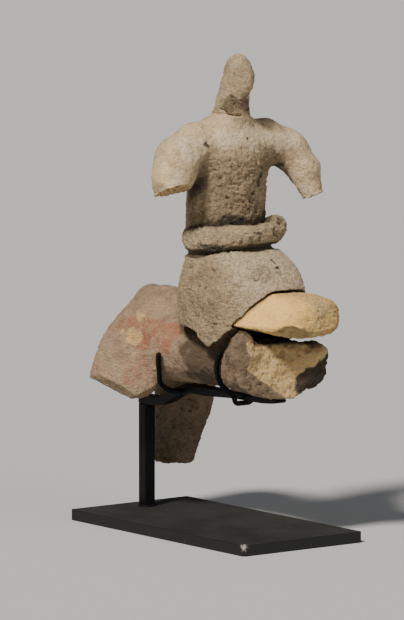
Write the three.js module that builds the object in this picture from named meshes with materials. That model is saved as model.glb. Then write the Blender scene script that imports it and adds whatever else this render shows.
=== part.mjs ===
import * as THREE from 'three';

// Fragment of a hand-modelled terracotta horse and rider, held up on a bent steel mount.
// Millimetres, +Z up. Origin: middle of the base plate's underside.
// The horse and its rider face -Y, and the rider's right hand is towards -X.

// Base plate, a flat steel bar cut square.
const plateLength = 150;
const plateWidth = 76;
const plateThick = 6;

// Square post standing near the rear edge of the plate.
const postSide = 6.35;
const postInset = 12.3;
const postTop = 61;

// Cradle bar, flat on top of the post and bent up under the horse's belly.
const barWidth = 6.35;
const barDepth = 4.8;
const barTop = 75.6;
const barNose = -57;
const barRiseStart = 50;
const barRiseEnd = 19;
const barTaper = 14;

// The bar is forged thinner between these two places, under the chest.
const barFrontDepth = 3.4;
const barThinStart = 5;
const barThinEnd = -20;

// Round wire prongs bent to the clay. The front one is a U that passes under the bar;
// the rear ones are a pair, each with its end on one side of the bar.
// Foot is the place along the bar, tip the height of the upper end and head its place along Y.
const wireSize = 2.7;
const frontProng = { foot: -24.5, tip: 99, head: -33 };
const rearProng = { foot: 27, tip: 94, head: 17 };
const rearProngDrop = 2.6;

// Air left between the clay and the steel, and between steel parts that only cross.
const gap = 0.3;

// The clay. Every number in the modelling below is a 222nd part of this height,
// so the whole figure grows and shrinks with it, standing on the cradle bar.
const figureHeight = 222;
const facet = 4.35;

// A prong keeps this much further off the clay than the plain gap, for the facets' sake.
const facetSlack = 0.35;

const plateTop = plateThick;
const postMiddle = plateLength / 2 - postInset - postSide / 2;
const part = figureHeight / 222;

// Blending of two lumps of clay: union and intersection with a thumbed-over joint.
function join(a, b, soft) {
  const h = Math.min(Math.max(0.5 + 0.5 * (b - a) / soft, 0), 1);
  return b + (a - b) * h - soft * h * (1 - h);
}

function cut(a, b, soft) {
  return -join(-a, -b, soft);
}

// A rolled coil of clay from one point to another, thick at one end.
function coil(p, from, to, fromRadius, toRadius) {
  const axis = [to[0] - from[0], to[1] - from[1], to[2] - from[2]];
  const reach = axis[0] ** 2 + axis[1] ** 2 + axis[2] ** 2;
  const along = (p[0] - from[0]) * axis[0] + (p[1] - from[1]) * axis[1] + (p[2] - from[2]) * axis[2];
  const t = Math.min(Math.max(along / reach, 0), 1);
  const dx = p[0] - from[0] - t * axis[0];
  const dy = p[1] - from[1] - t * axis[1];
  const dz = p[2] - from[2] - t * axis[2];
  return Math.hypot(dx, dy, dz) - fromRadius - (toRadius - fromRadius) * t;
}

// An egg-shaped lump.
function lump(p, middle, radii) {
  const x = (p[0] - middle[0]) / radii[0];
  const y = (p[1] - middle[1]) / radii[1];
  const z = (p[2] - middle[2]) / radii[2];
  const near = Math.hypot(x, y, z);
  const slope = Math.hypot(x / radii[0], y / radii[1], z / radii[2]);
  return near * (near - 1) / Math.max(slope, 1e-9);
}

// The face of a flat break. Clay on the side the normal points to is gone.
function breakFace(p, at, normal) {
  const size = Math.hypot(normal[0], normal[1], normal[2]);
  const d = (p[0] - at[0]) * normal[0] + (p[1] - at[1]) * normal[1] + (p[2] - at[2]) * normal[2];
  return d / size;
}

// One value of a smooth line through rows of measurements.
function through(rows, column, level) {
  const last = rows.length - 1;
  const at = Math.min(Math.max(level, rows[0][0]), rows[last][0]);
  let i = 0;
  while (i < last - 1 && at > rows[i + 1][0]) {
    i += 1;
  }
  const slopeAt = (k) => {
    if (k === 0 || k === last) {
      const m = k === 0 ? 0 : last - 1;
      return (rows[m + 1][column] - rows[m][column]) / (rows[m + 1][0] - rows[m][0]);
    }
    const before = rows[k][0] - rows[k - 1][0];
    const after = rows[k + 1][0] - rows[k][0];
    const rise = (rows[k][column] - rows[k - 1][column]) / before;
    const next = (rows[k + 1][column] - rows[k][column]) / after;
    return (rise * after + next * before) / (before + after);
  };
  const span = rows[i + 1][0] - rows[i][0];
  const s = (at - rows[i][0]) / span;
  const a = rows[i][column] * (2 * s ** 3 - 3 * s ** 2 + 1);
  const b = rows[i + 1][column] * (3 * s ** 2 - 2 * s ** 3);
  const c = slopeAt(i) * span * (s ** 3 - 2 * s ** 2 + s);
  const d = slopeAt(i + 1) * span * (s ** 3 - s ** 2);
  return a + b + c + d;
}

// Clay built up in oval rounds along an axis (1 along the horse, 2 upwards).
// Rows: level, middle of the oval (two numbers), half sizes of the oval (two numbers).
function rounds(p, rows, axis, ends, squareness) {
  const across = 0;
  const other = axis === 2 ? 1 : 2;
  const level = p[axis];
  const dx = p[across] - through(rows, 1, level);
  const dy = p[other] - through(rows, 2, level);
  const a = through(rows, 3, level);
  const b = through(rows, 4, level);
  const k = (Math.abs(dx / a) ** squareness + Math.abs(dy / b) ** squareness) ** (1 / squareness);
  const slope = Math.hypot(dx / a ** 2, dy / b ** 2) / Math.max(k, 1e-6);
  const side = k < 0.3 ? (k - 1) * Math.min(a, b) : (k - 1) / Math.max(slope, 1e-6);
  const beyond = Math.max(rows[0][0] - level, level - rows[rows.length - 1][0]);
  return cut(side, beyond, ends);
}

// A roll of clay laid round an oval waist, climbing towards the rider's left.
function roll(p, middle, halfX, halfY, radius, climb, tall) {
  const x = p[0] - middle[0];
  const y = p[1] - middle[1];
  const spread = halfX ** 2 - halfY ** 2;
  let angle = Math.atan2(y / halfY, x / halfX);
  for (let i = 0; i < 2; i += 1) {
    const c = Math.cos(angle);
    const s = Math.sin(angle);
    const miss = spread * c * s - x * halfX * s + y * halfY * c;
    const rate = spread * (c * c - s * s) - x * halfX * c - y * halfY * s;
    const step = miss / (Math.abs(rate) < 1 ? -1 : rate);
    angle -= Math.min(Math.max(step, -0.3), 0.3);
  }
  const out = Math.hypot(x - halfX * Math.cos(angle), y - halfY * Math.sin(angle));
  return Math.hypot(out, (p[2] - middle[2] - climb * x) / tall) - radius;
}

// Rider: slab of a body with square shoulders.
const bodyRows = [
  [140, 0, -9, 20, 14], [158, 0, -9, 22.7, 15], [172, 0, -9.6, 23.4, 15], [186, 0, -10.6, 24, 15.2],
  [198, 0, -11.5, 26, 15], [206, 0, -12, 25, 13.6], [212, 0, -12, 19, 11.5], [217.5, 0, -12.5, 12, 10],
];

function riderBody(p) {
  const yoke = coil(p, [-22, -11.5, 205], [22, -11.5, 205], 9.2, 9.2);
  return join(rounds(p, bodyRows, 2, 3, 2), yoke, 5);
}

// Right arm: a thick stump broken off above the elbow.
function rightArm(p) {
  const shoulder = coil(p, [-22, -11, 202.6], [-33.8, -13, 196.8], 10.4, 11.1);
  const arm = coil(p, [-33.8, -13, 196.8], [-42.5, -19, 178], 11.1, 9.8);
  const broken = cut(join(shoulder, arm, 5), breakFace(p, [-42.5, -19, 181.6], [0.02, -0.36, -1]), 1.8);
  return cut(broken, breakFace(p, [-47.5, -17, 182], [-0.88, -0.1, -0.45]), 2);
}

// Left arm: longer, thinning towards its break.
function leftArm(p) {
  const shoulder = coil(p, [24, -11, 203.2], [39, -16, 196.2], 10.6, 9.7);
  const arm = coil(p, [39.5, -16, 195.5], [47, -24, 171], 9.3, 5);
  return cut(join(shoulder, arm, 6), breakFace(p, [46.5, -23.2, 174.6], [0.35, -0.25, -1]), 1.8);
}

// Head pinched out of the neck, without features.
function riderHead(p) {
  const neck = coil(p, [-0.5, -13, 212], [0, -17, 232], 10.3, 8.3);
  const skull = lump(p, [0.2, -19.5, 238.5], [6.8, 9.3, 11.8]);
  const front = lump(p, [0.5, -24.6, 237], [5.4, 5.2, 8.2]);
  return join(join(neck, skull, 3), front, 1.5);
}

// Bell skirt spread over the horse's back.
const skirtRows = [
  [94, 0, -24, 27, 33], [106, 0, -22.5, 29, 34], [118, 0, -22, 30.2, 34], [128, 0, -22.5, 31, 34],
  [137, 1, -21, 29.8, 30], [144, 1, -18, 27.6, 24], [150, 0.5, -13.5, 24.5, 18.5], [156, 0, -10, 22, 15],
];

// Its hem, as place along Y and height: it dips to a point and climbs again over the chest.
const hemRows = [
  [-58, 122], [-50, 117], [-45, 111.5], [-40, 107], [-34, 103], [-29, 101.3], [-25, 104], [-21, 108],
  [-12, 109.6], [0, 109.4], [12, 108.5],
];

function skirt(p) {
  const hem = 0.75 * (through(hemRows, 1, p[1]) - p[2]);
  return cut(rounds(p, skirtRows, 2, 4, 2.2), hem, 2);
}

function belt(p) {
  return roll(p, [2, -12.6, 156.3], 23.8, 14.8, 5.5, 0.04, 1.16);
}

// Horse: barrel and domed rump, with the root of the tail standing up on it.
const barrelRows = [
  [-50, 0, 91, 22, 15], [-30, 0, 93, 20, 16.5], [-10, 0, 94.5, 19.5, 17.5], [10, 0, 94.8, 20.5, 18.5],
  [26, 0, 96.9, 22.5, 21.4], [40, 0, 101, 23, 23.5], [52, 0, 101.5, 20.5, 21.5], [62, 0, 101, 13, 15],
  [67, 0, 100, 5, 7],
];

// Right hind leg, turned out a little and broken off just below the belly.
const rightLegRows = [
  [56, -30, 47, 9.3, 15.5], [66, -28, 46, 10.3, 17.5], [76, -25.3, 45, 11.8, 19],
  [88, -21, 44.7, 13.8, 19], [100, -15, 44.5, 15, 17.5], [111, -10, 43.5, 13, 14],
];

// Left hind leg, a longer stump.
const leftLegRows = [
  [24, 19, 61.5, 8.5, 10], [36, 19.5, 59.3, 9.8, 13.2], [50, 20, 56.3, 11.3, 16.8],
  [66, 19.5, 52, 12.4, 20], [80, 17, 48.5, 12.8, 21], [98, 11, 45.5, 14, 19],
];

// Chest block in front of the barrel, broken across the front.
const chestRows = [
  [-72, 0, 88, 21, 15.5], [-61, 0.3, 89.3, 24.5, 14.8], [-54, 0.5, 90.3, 25.8, 14],
  [-46, 0, 91, 26, 13.6], [-37, 0, 91, 25, 14],
];

// Root of the horse's neck, a slab-shaped break that juts out under the skirt.
const neckRows = [
  [-80, 11, 118, 8, 7.5], [-74, 8.5, 118.5, 15.5, 9.6], [-66, 5.5, 118.8, 20.5, 10.4],
  [-54, 1.5, 119, 24, 10.7], [-42, -1.5, 118.5, 24.5, 10.8], [-28, -1, 118, 22, 10.5],
];

function horse(p) {
  const tailRoot = lump(p, [0, 56, 114], [9, 7.5, 10]);
  const barrel = join(rounds(p, barrelRows, 1, 4, 2), tailRoot, 4);
  const rightBreak = breakFace(p, [-28, 48, 70.5], [-0.3, 0.12, -1]);
  const turned = [p[0] + (p[1] - 46) / 3, p[1], p[2]];
  const rightLeg = cut(rounds(turned, rightLegRows, 2, 4, 2), rightBreak, 1.5);
  const leftBreak = breakFace(p, [20, 61, 27], [-0.1, -0.1, -1]);
  const leftLeg = cut(rounds(p, leftLegRows, 2, 4, 2), leftBreak, 2.5);
  const block = rounds(p, chestRows, 1, 3, 3);
  const chestBreak = breakFace(p, [0, -57.5, 89], [-0.12, -0.95, 0.12]);
  const cornerBreak = breakFace(p, [15, -58, 79.5], [0.55, -0.45, -0.6]);
  const broken = cut(cut(block, chestBreak, 2), cornerBreak, 4);
  const leftShoulder = lump(p, [20.5, -52.5, 91], [9.5, 9.5, 12.5]);
  const rightShoulder = lump(p, [-18.5, -48, 100], [7, 8, 11]);
  const chest = join(join(broken, leftShoulder, 2), rightShoulder, 3);
  return join(join(join(barrel, rightLeg, 7), leftLeg, 8), chest, 3);
}

function neckRoot(p) {
  const flank = breakFace(p, [-11, -52, 122.3], [-0.74, -0.2, 0.62]);
  const underside = breakFace(p, [-6, -60, 109.2], [-0.23, 0, -0.97]);
  return cut(cut(rounds(p, neckRows, 1, 3, 2.8), flank, 3), underside, 2);
}

function modelled(p) {
  let d = join(riderBody(p), rightArm(p), 5);
  d = join(d, leftArm(p), 5);
  d = join(d, riderHead(p), 3.5);
  d = join(d, skirt(p), 2.5);
  d = join(d, horse(p), 2);
  d = join(d, neckRoot(p), 2);
  return join(d, belt(p), 2);
}

// Lowest clay straight above the bar at one place along it, felt for from the floor upwards.
function bellyAt(y) {
  const heights = [-0.5, -0.25, 0, 0.25, 0.5].map((x) => {
    const p = [x * barWidth / part, y, 0];
    for (let step = 0; step < 90; step += 1) {
      p[2] += 0.8 * modelled(p);
    }
    return p[2];
  });
  return Math.min(...heights);
}

// The figure is set down until its belly is one gap above the level part of the bar.
let belly = Infinity;
for (let step = 0; step < 25; step += 1) {
  belly = Math.min(belly, bellyAt((barRiseEnd + (barNose - barRiseEnd) * step / 25) / part));
}
const lift = barTop + gap - belly * part;

function clay(p) {
  return modelled([p[0] / part, p[1] / part, (p[2] - lift) / part]) * part;
}

// Skin of a solid as even facets: one corner per cell the surface crosses, drawn onto the surface.
function skin(field, low, high, cell) {
  const n = [0, 1, 2].map((i) => Math.ceil((high[i] - low[i]) / cell) + 1);
  const spot = (i, j, k) => (i * n[1] + j) * n[2] + k;
  const values = new Float64Array(n[0] * n[1] * n[2]);
  for (let i = 0; i < n[0]; i += 1) {
    for (let j = 0; j < n[1]; j += 1) {
      for (let k = 0; k < n[2]; k += 1) {
        values[spot(i, j, k)] = field([low[0] + i * cell, low[1] + j * cell, low[2] + k * cell]);
      }
    }
  }
  // A cell face with clay at two opposite corners only would pinch the skin, so it is filled.
  let pinched = true;
  while (pinched) {
    pinched = false;
    for (let i = 0; i < n[0] - 1; i += 1) {
      for (let j = 0; j < n[1] - 1; j += 1) {
        for (let k = 0; k < n[2] - 1; k += 1) {
          for (const [u, v] of [[[1, 0, 0], [0, 1, 0]], [[0, 1, 0], [0, 0, 1]], [[1, 0, 0], [0, 0, 1]]]) {
            const face = [
              spot(i, j, k),
              spot(i + u[0], j + u[1], k + u[2]),
              spot(i + u[0] + v[0], j + u[1] + v[1], k + u[2] + v[2]),
              spot(i + v[0], j + v[1], k + v[2]),
            ];
            const full = face.map((at) => values[at] < 0);
            if (full[0] === full[2] && full[1] === full[3] && full[0] !== full[1]) {
              const open = full[0] ? [face[1], face[3]] : [face[0], face[2]];
              const fill = values[open[0]] < values[open[1]] ? open[0] : open[1];
              values[fill] = -0.05 * cell;
              pinched = true;
            }
          }
        }
      }
    }
  }
  const corners = new Map();
  const positions = [];
  const corner = (i, j, k) => {
    const key = spot(i, j, k);
    if (corners.has(key)) {
      return corners.get(key);
    }
    const sum = [0, 0, 0];
    let crossings = 0;
    for (let axis = 0; axis < 3; axis += 1) {
      for (let side = 0; side < 4; side += 1) {
        const a = [0, 0, 0];
        a[(axis + 1) % 3] = side & 1;
        a[(axis + 2) % 3] = side >> 1;
        const b = [...a];
        b[axis] = 1;
        const from = values[spot(i + a[0], j + a[1], k + a[2])];
        const to = values[spot(i + b[0], j + b[1], k + b[2])];
        if ((from < 0) !== (to < 0)) {
          const t = from / (from - to);
          sum[0] += a[0] + t * (b[0] - a[0]);
          sum[1] += a[1] + t * (b[1] - a[1]);
          sum[2] += a[2] + t * (b[2] - a[2]);
          crossings += 1;
        }
      }
    }
    const base = [low[0] + i * cell, low[1] + j * cell, low[2] + k * cell];
    let p = sum.map((s, axis) => base[axis] + cell * s / crossings);
    for (let round = 0; round < 4; round += 1) {
      const here = field(p);
      const slope = [0, 1, 2].map((axis) => {
        const q = [...p];
        q[axis] += 0.3;
        const r = [...p];
        r[axis] -= 0.3;
        return (field(q) - field(r)) / 0.6;
      });
      const steep = Math.max(slope[0] ** 2 + slope[1] ** 2 + slope[2] ** 2, 0.25);
      p = p.map((v, axis) => {
        const moved = v - here * slope[axis] / steep;
        return Math.min(Math.max(moved, base[axis] + 0.04 * cell), base[axis] + 0.96 * cell);
      });
    }
    corners.set(key, positions.length / 3);
    positions.push(...p);
    return corners.get(key);
  };
  const index = [];
  for (let i = 1; i < n[0] - 1; i += 1) {
    for (let j = 1; j < n[1] - 1; j += 1) {
      for (let k = 1; k < n[2] - 1; k += 1) {
        for (let axis = 0; axis < 3; axis += 1) {
          const next = [i, j, k];
          next[axis] += 1;
          const inside = values[spot(i, j, k)] < 0;
          if (inside === values[spot(...next)] < 0) {
            continue;
          }
          const u = (axis + 1) % 3;
          const v = (axis + 2) % 3;
          const ring = [[0, 0], [1, 0], [1, 1], [0, 1]].map((step) => {
            const cellAt = [i, j, k];
            cellAt[u] -= step[0];
            cellAt[v] -= step[1];
            return corner(...cellAt);
          });
          if (!inside) {
            ring.reverse();
          }
          index.push(ring[0], ring[1], ring[2], ring[0], ring[2], ring[3]);
        }
      }
    }
  }
  const geometry = new THREE.BufferGeometry();
  geometry.setAttribute('position', new THREE.Float32BufferAttribute(positions, 3));
  geometry.setIndex(index);
  geometry.computeVertexNormals();
  return geometry;
}

// Height of the bar's top face along its length.
function barHeight(y) {
  const seat = postTop + barDepth;
  const t = Math.min(Math.max((barRiseStart - y) / (barRiseStart - barRiseEnd), 0), 1);
  return seat + (barTop - seat) * t * t * (3 - 2 * t);
}

// Depth of the bar along its length, thinner in front and drawn out to a nose.
function depthAt(y) {
  const t = Math.min(Math.max((barThinStart - y) / (barThinStart - barThinEnd), 0), 1);
  const nose = Math.min(Math.max((y - barNose) / barTaper, 0), 1);
  return (barDepth + (barFrontDepth - barDepth) * t) * (0.45 + 0.55 * Math.sqrt(nose));
}

// Bar: side outline, then given its width.
function cradleBar() {
  const rear = postMiddle + postSide / 2;
  const stations = [rear];
  for (let y = barRiseStart; y > barRiseEnd - 0.5; y -= (barRiseStart - barRiseEnd) / 10) {
    stations.push(y);
  }
  stations.push(barThinStart, barThinEnd, barNose + barTaper, barNose + barTaper * 0.5, barNose);
  const top = stations.map((y) => new THREE.Vector2(y, barHeight(y)));
  const bottom = stations.map((y) => {
    const slope = (barHeight(y + 0.1) - barHeight(y - 0.1)) / 0.2;
    const away = 1 / Math.hypot(1, slope);
    return new THREE.Vector2(y + slope * away * depthAt(y), barHeight(y) - away * depthAt(y));
  });
  bottom[0].x = rear;
  const shape = new THREE.Shape([...top, ...bottom.reverse()]);
  const geometry = new THREE.ExtrudeGeometry(shape, { depth: barWidth, bevelEnabled: false });
  const basis = new THREE.Matrix4().makeBasis(
    new THREE.Vector3(0, 1, 0),
    new THREE.Vector3(0, 0, 1),
    new THREE.Vector3(1, 0, 0),
  );
  geometry.applyMatrix4(basis);
  geometry.translate(-barWidth / 2, 0, 0);
  return geometry;
}

// Distance to the bar taken as a box just where a prong passes it.
function barSection(p) {
  const across = Math.abs(p[0]) - barWidth / 2;
  const deep = Math.abs(p[2] - barHeight(p[1]) + depthAt(p[1]) / 2) - depthAt(p[1]) / 2;
  return Math.hypot(Math.max(across, 0), Math.max(deep, 0)) + Math.min(Math.max(across, deep), 0);
}

// Height at which a prong's middle line passes under the bar, and its travel along Y per rise.
function crossing(prong) {
  return barHeight(prong.foot) - depthAt(prong.foot) - gap - wireSize / 2;
}

function lean(prong) {
  return (prong.head - prong.foot) / (prong.tip - crossing(prong));
}

// One side of a prong, from under the belly up to its tip. It keeps one gap off the clay
// and off the bar. Side is -1 for the rider's right and 1 for the left.
function hugLine(prong, side) {
  const radius = wireSize / 2;
  const hub = 0.5 * (barTop + prong.tip);
  const onPlane = (x, z) => [x, prong.foot + lean(prong) * (z - crossing(prong)), z];
  const points = [];
  for (let step = 0; step <= 40; step += 1) {
    const angle = step * Math.PI / 48;
    const at = (reach) => onPlane(side * Math.sin(angle) * reach, hub - Math.cos(angle) * reach);
    const clear = (q) => join(clay(q) - facetSlack, barSection(q), 8) - gap - radius;
    let reach = 0;
    while (clear(at(reach)) < 0 && reach < 60) {
      reach += 0.05;
    }
    const p = at(reach);
    if (p[2] > prong.tip) {
      break;
    }
    points.push(new THREE.Vector3(...p));
  }
  return points;
}

// The U-shaped prong, tip to tip.
function frontLine() {
  const bend = [...hugLine(frontProng, -1).reverse(), ...hugLine(frontProng, 1).slice(1)];
  return new THREE.CatmullRomCurve3(bend, false, 'centripetal').getSpacedPoints(32);
}

// One of the rear pair: a straight start square to the side of the bar, then along the clay.
function rearLine(side) {
  const z = barHeight(rearProng.foot) - rearProngDrop;
  const y = rearProng.foot + lean(rearProng) * (z - crossing(rearProng));
  const start = new THREE.Vector3(side * barWidth / 2, y, z);
  const bend = new THREE.Vector3(side * (barWidth / 2 + wireSize), y, z);
  const rest = hugLine(rearProng, side).filter((p) => Math.abs(p.x) > barWidth / 2 + 2 * wireSize);
  const curve = new THREE.CatmullRomCurve3([start, bend, ...rest], false, 'centripetal');
  return curve.getSpacedPoints(16);
}

// Wire of round section swept along a flat bend, with rounded tips.
// A welded start is cut off flat.
function wire(points, planeNormal, welded) {
  const radius = wireSize / 2;
  const sides = 10;
  const count = points.length;
  const first = points[0].clone().sub(points[1]).normalize();
  const last = points[count - 1].clone().sub(points[count - 2]).normalize();
  const rounding = [[0.85, 0.55], [0.5, 0.87]];
  const rings = [];
  if (!welded) {
    for (const [size, out] of [...rounding].reverse()) {
      rings.push([points[0].clone().addScaledVector(first, out * radius), first.clone().negate(), size]);
    }
  }
  points.forEach((point, i) => {
    const before = points[Math.max(i - 1, 0)];
    const after = points[Math.min(i + 1, count - 1)];
    rings.push([point, after.clone().sub(before).normalize(), 1]);
  });
  if (welded) {
    rings[0][1].set(Math.sign(points[1].x - points[0].x), 0, 0);
  }
  for (const [size, out] of rounding) {
    rings.push([points[count - 1].clone().addScaledVector(last, out * radius), last, size]);
  }
  const positions = [];
  for (const [middle, along, size] of rings) {
    const up = new THREE.Vector3().crossVectors(planeNormal, along).normalize();
    for (let i = 0; i < sides; i += 1) {
      const angle = i * 2 * Math.PI / sides;
      const p = middle.clone();
      p.addScaledVector(planeNormal, radius * size * Math.cos(angle));
      p.addScaledVector(up, radius * size * Math.sin(angle));
      positions.push(p.x, p.y, p.z);
    }
  }
  const startTip = rings.length * sides;
  const endTip = startTip + 1;
  const head = points[0].clone().addScaledVector(first, welded ? 0 : radius);
  const tail = points[count - 1].clone().addScaledVector(last, radius);
  positions.push(head.x, head.y, head.z, tail.x, tail.y, tail.z);
  const index = [];
  for (let ring = 0; ring < rings.length - 1; ring += 1) {
    for (let i = 0; i < sides; i += 1) {
      const a = ring * sides + i;
      const b = ring * sides + (i + 1) % sides;
      index.push(a, a + sides, b, b, a + sides, b + sides);
    }
  }
  const lastRing = (rings.length - 1) * sides;
  for (let i = 0; i < sides; i += 1) {
    const j = (i + 1) % sides;
    index.push(startTip, i, j);
    index.push(endTip, lastRing + j, lastRing + i);
  }
  const geometry = new THREE.BufferGeometry();
  geometry.setAttribute('position', new THREE.Float32BufferAttribute(positions, 3));
  geometry.setIndex(index);
  geometry.computeVertexNormals();
  return geometry;
}

const group = new THREE.Group();
group.name = 'horse_and_rider_on_mount';

const terracotta = new THREE.MeshStandardMaterial({ color: 0xb5a386, roughness: 0.95, metalness: 0 });
const blackSteel = new THREE.MeshStandardMaterial({ color: 0x17181a, roughness: 0.45, metalness: 0 });

function add(name, geometry, material) {
  const mesh = new THREE.Mesh(geometry, material);
  mesh.name = name;
  group.add(mesh);
  return mesh;
}

const tall = figureHeight * 1.12;
const low = [-58 * part, -90 * part, lift + 18 * part];
const high = [58 * part, 82 * part, lift + 18 * part + tall];
add('horse_and_rider', skin(clay, low, high, facet), terracotta);

const plate = add('base_plate', new THREE.BoxGeometry(plateWidth, plateLength, plateThick), blackSteel);
plate.position.z = plateThick / 2;

const post = add('post', new THREE.BoxGeometry(postSide, postSide, postTop - plateTop), blackSteel);
post.position.set(0, postMiddle, (postTop + plateTop) / 2);

add('cradle_bar', cradleBar(), blackSteel);

const frontNormal = new THREE.Vector3(0, 1, -lean(frontProng)).normalize();
add('front_prong', wire(frontLine(), frontNormal, false), blackSteel);

const rearNormal = new THREE.Vector3(0, 1, -lean(rearProng)).normalize();
add('rear_prong_right', wire(rearLine(-1), rearNormal, true), blackSteel);
add('rear_prong_left', wire(rearLine(1), rearNormal, true), blackSteel);

export default group;
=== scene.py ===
"""Fragment of a hand-modelled terracotta horse and rider on a bent steel mount.

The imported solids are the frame. The clay is built up again here from the same lumps, finer,
with its cracks, breaks, pits and remains of paint. Working sizes are millimetres.
"""

import itertools
import math

import bmesh
import bpy
import numpy as np
from bpy.props import FloatProperty, FloatVectorProperty, PointerProperty
from mathutils import Matrix, Vector


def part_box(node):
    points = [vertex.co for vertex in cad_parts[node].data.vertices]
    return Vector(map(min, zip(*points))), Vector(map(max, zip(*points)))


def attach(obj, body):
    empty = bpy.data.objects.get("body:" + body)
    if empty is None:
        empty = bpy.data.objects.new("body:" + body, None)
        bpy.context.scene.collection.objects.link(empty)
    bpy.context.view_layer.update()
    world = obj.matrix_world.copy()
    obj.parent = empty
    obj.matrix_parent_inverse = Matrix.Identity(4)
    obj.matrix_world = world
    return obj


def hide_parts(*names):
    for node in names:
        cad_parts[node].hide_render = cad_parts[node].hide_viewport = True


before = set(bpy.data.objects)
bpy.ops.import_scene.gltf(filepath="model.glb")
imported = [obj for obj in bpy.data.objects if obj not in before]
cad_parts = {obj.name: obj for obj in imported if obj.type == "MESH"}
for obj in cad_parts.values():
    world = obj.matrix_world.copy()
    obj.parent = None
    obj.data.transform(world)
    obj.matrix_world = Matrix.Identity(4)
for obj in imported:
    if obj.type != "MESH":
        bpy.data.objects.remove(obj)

bl_info = {
    "name": "Terracotta horse and rider",
    "version": (1, 0, 0),
    "blender": (4, 5, 0),
    "location": "View3D > Sidebar > Terracotta",
    "description": "Builds a broken terracotta rider with its steel mount around the packed frame",
    "category": "Object",
}

MM = 0.001
BODY = "root"
CLAY_NODE = "horse_and_rider"


def node_box(node):
    """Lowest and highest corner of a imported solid, in millimetres."""
    low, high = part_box(node)
    return np.array(low) / MM, np.array(high) / MM


PLATE_LOW, PLATE_HIGH = node_box("base_plate")
POST_LOW, POST_HIGH = node_box("post")
BAR_LOW, BAR_HIGH = node_box("cradle_bar")

# Air kept between clay and steel, and between steel parts that only cross.
AIR_GAP = 0.3

# The bar lies flat on the post, rises between two places and is forged thinner in front.
BAR_DEPTH, BAR_FRONT_DEPTH = 4.8, 3.4
BAR_RISE = (50, 19)
BAR_THIN = (5, -20)
BAR_TAPER = 14
BAR_NOSE = 0.8
BAR_RINGS = 110

# Thickness of the wires, and radius of the welds.
WIRE = 2.7
WIRE_WELD, FOOT_WELD, SEAT_WELD = 1.2, 1.0, 1.2
WELD_RINGS = 24

# Wire prongs: place along the bar, height of the tip and place of the tip along Y.
FRONT_PRONG = (-24.5, 99, -33)
REAR_PRONG = (27, 94, 17)

# A rear wire starts this far below the bar's top, and lies on the clay above this height.
REAR_DROP, REAR_REST = 2.6, 79

# A wire keeps this much further off the clay, for its grain's sake.
WIRE_SLACK = 0.35

# The camera stands to the rider's right, a little raised, and looks at this place.
CAMERA_TURN, CAMERA_RISE = math.radians(-36.85), math.radians(6.89)
CAMERA_TARGET = (-8.2, 0, 116.7)

# Lamps: name, how far across, towards the camera and up, softness in degrees, strength, tint.
LAMPS = (
    ("key", -0.45, 0.75, 0.95, 9, 5.0, (1, 0.95, 0.87)),
    ("fill", 0.9, 0.8, 0.6, 50, 0.8, (1, 0.97, 0.92)),
)
SKY, SKY_STRENGTH = (0.8, 0.87, 0.95, 1), 0.1

# Metres.
FLOOR_RADIUS = 9


# ---- sizes and colours that a user may change


def colour(name, description, default):
    """A colour that a user may change."""
    return FloatVectorProperty(
        name=name, description=description, subtype="COLOR", size=3, min=0, max=1, default=default
    )


def length(name, description, millimetres):
    """A length that a user may change."""
    return FloatProperty(
        name=name, description=description, unit="LENGTH", subtype="DISTANCE", min=0, precision=5,
        default=millimetres * MM,
    )


class ClaySettings(bpy.types.PropertyGroup):
    """Clay of the horse and its rider."""

    cell: length("Mesh cell", "Distance between neighbouring points of the clay surface", 0.6)
    hand: length("Hand modelling", "Height of the slow dents that fingers left", 0.65)
    crumb: length("Break roughness", "Height of the crumbled surface where clay broke off", 1.3)
    crack: length("Crack width", "Width of the crack between two lumps of clay", 0.7)
    buff: colour("Buff", "Plain fired clay", (0.72, 0.545, 0.33))
    grey: colour("Grey", "Greyish weathered clay", (0.45, 0.34, 0.205))
    slip: colour("Slip", "Pale remains of the ground coat", (0.79, 0.635, 0.43))
    rose: colour("Rose", "Brownish pink clay of the horse", (0.47, 0.32, 0.215))
    ochre: colour("Ochre", "Yellow clay of the neck and the chest", (0.98, 0.61, 0.2))
    core: colour("Core", "Brown clay inside the breaks", (0.24, 0.105, 0.035))
    paint: colour("Paint", "Remains of red paint", (0.47, 0.165, 0.09))
    dirt: colour("Dirt", "Grey-brown dirt in the grain and the pits", (0.14, 0.095, 0.05))
    # The dark soil colour is also painted shade: in sheltered places, under the chin, on the far leg, on the
    # flank by the chest and under the skirt.
    earth_and_shade: colour("Earth", "Dark soil left in sheltered places", (0.05, 0.035, 0.021))
    # The black is also painted shade on the chest's far side, in the far armpit and under the near arm.
    soot_and_shade: colour("Soot", "Black burnt or painted patches", (0.035, 0.03, 0.027))


class SteelSettings(bpy.types.PropertyGroup):
    """Blackened steel of the mount."""

    edge: length("Edge rounding", "Radius of the filed edges", 0.5)
    black: colour("Black", "Satin black finish", (0.0035, 0.0038, 0.0045))
    dust: colour("Dust", "Brown dust lying on the plate", (0.026, 0.0245, 0.0215))
    bare: colour("Bare", "Chipped spots at the plate's corner", (0.35, 0.31, 0.27))


class StageSettings(bpy.types.PropertyGroup):
    """Floor, lights and camera."""

    floor: colour("Floor", "Plain pale floor", (0.5, 0.505, 0.515))
    distance: length("Camera distance", "Distance from the camera to the figure", 3000)
    lens: FloatProperty(name="Lens", description="Focal length", unit="CAMERA", default=336.5)


def settings(kind):
    """The group of settings of one kind: clay, steel or stage."""
    return getattr(bpy.context.scene, kind)


# ---- randomness with a memory: the same place always gets the same value

CHANCES = np.random.default_rng(5).random((65536, 5))
CELL_STEPS, SEED_STEP = np.array((7919, 104729, 1299709)), 15485863
TURN = np.array(Matrix.Rotation(0.8, 3, "X") @ Matrix.Rotation(0.5, 3, "Y") @ Matrix.Rotation(1.1, 3, "Z"))


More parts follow.
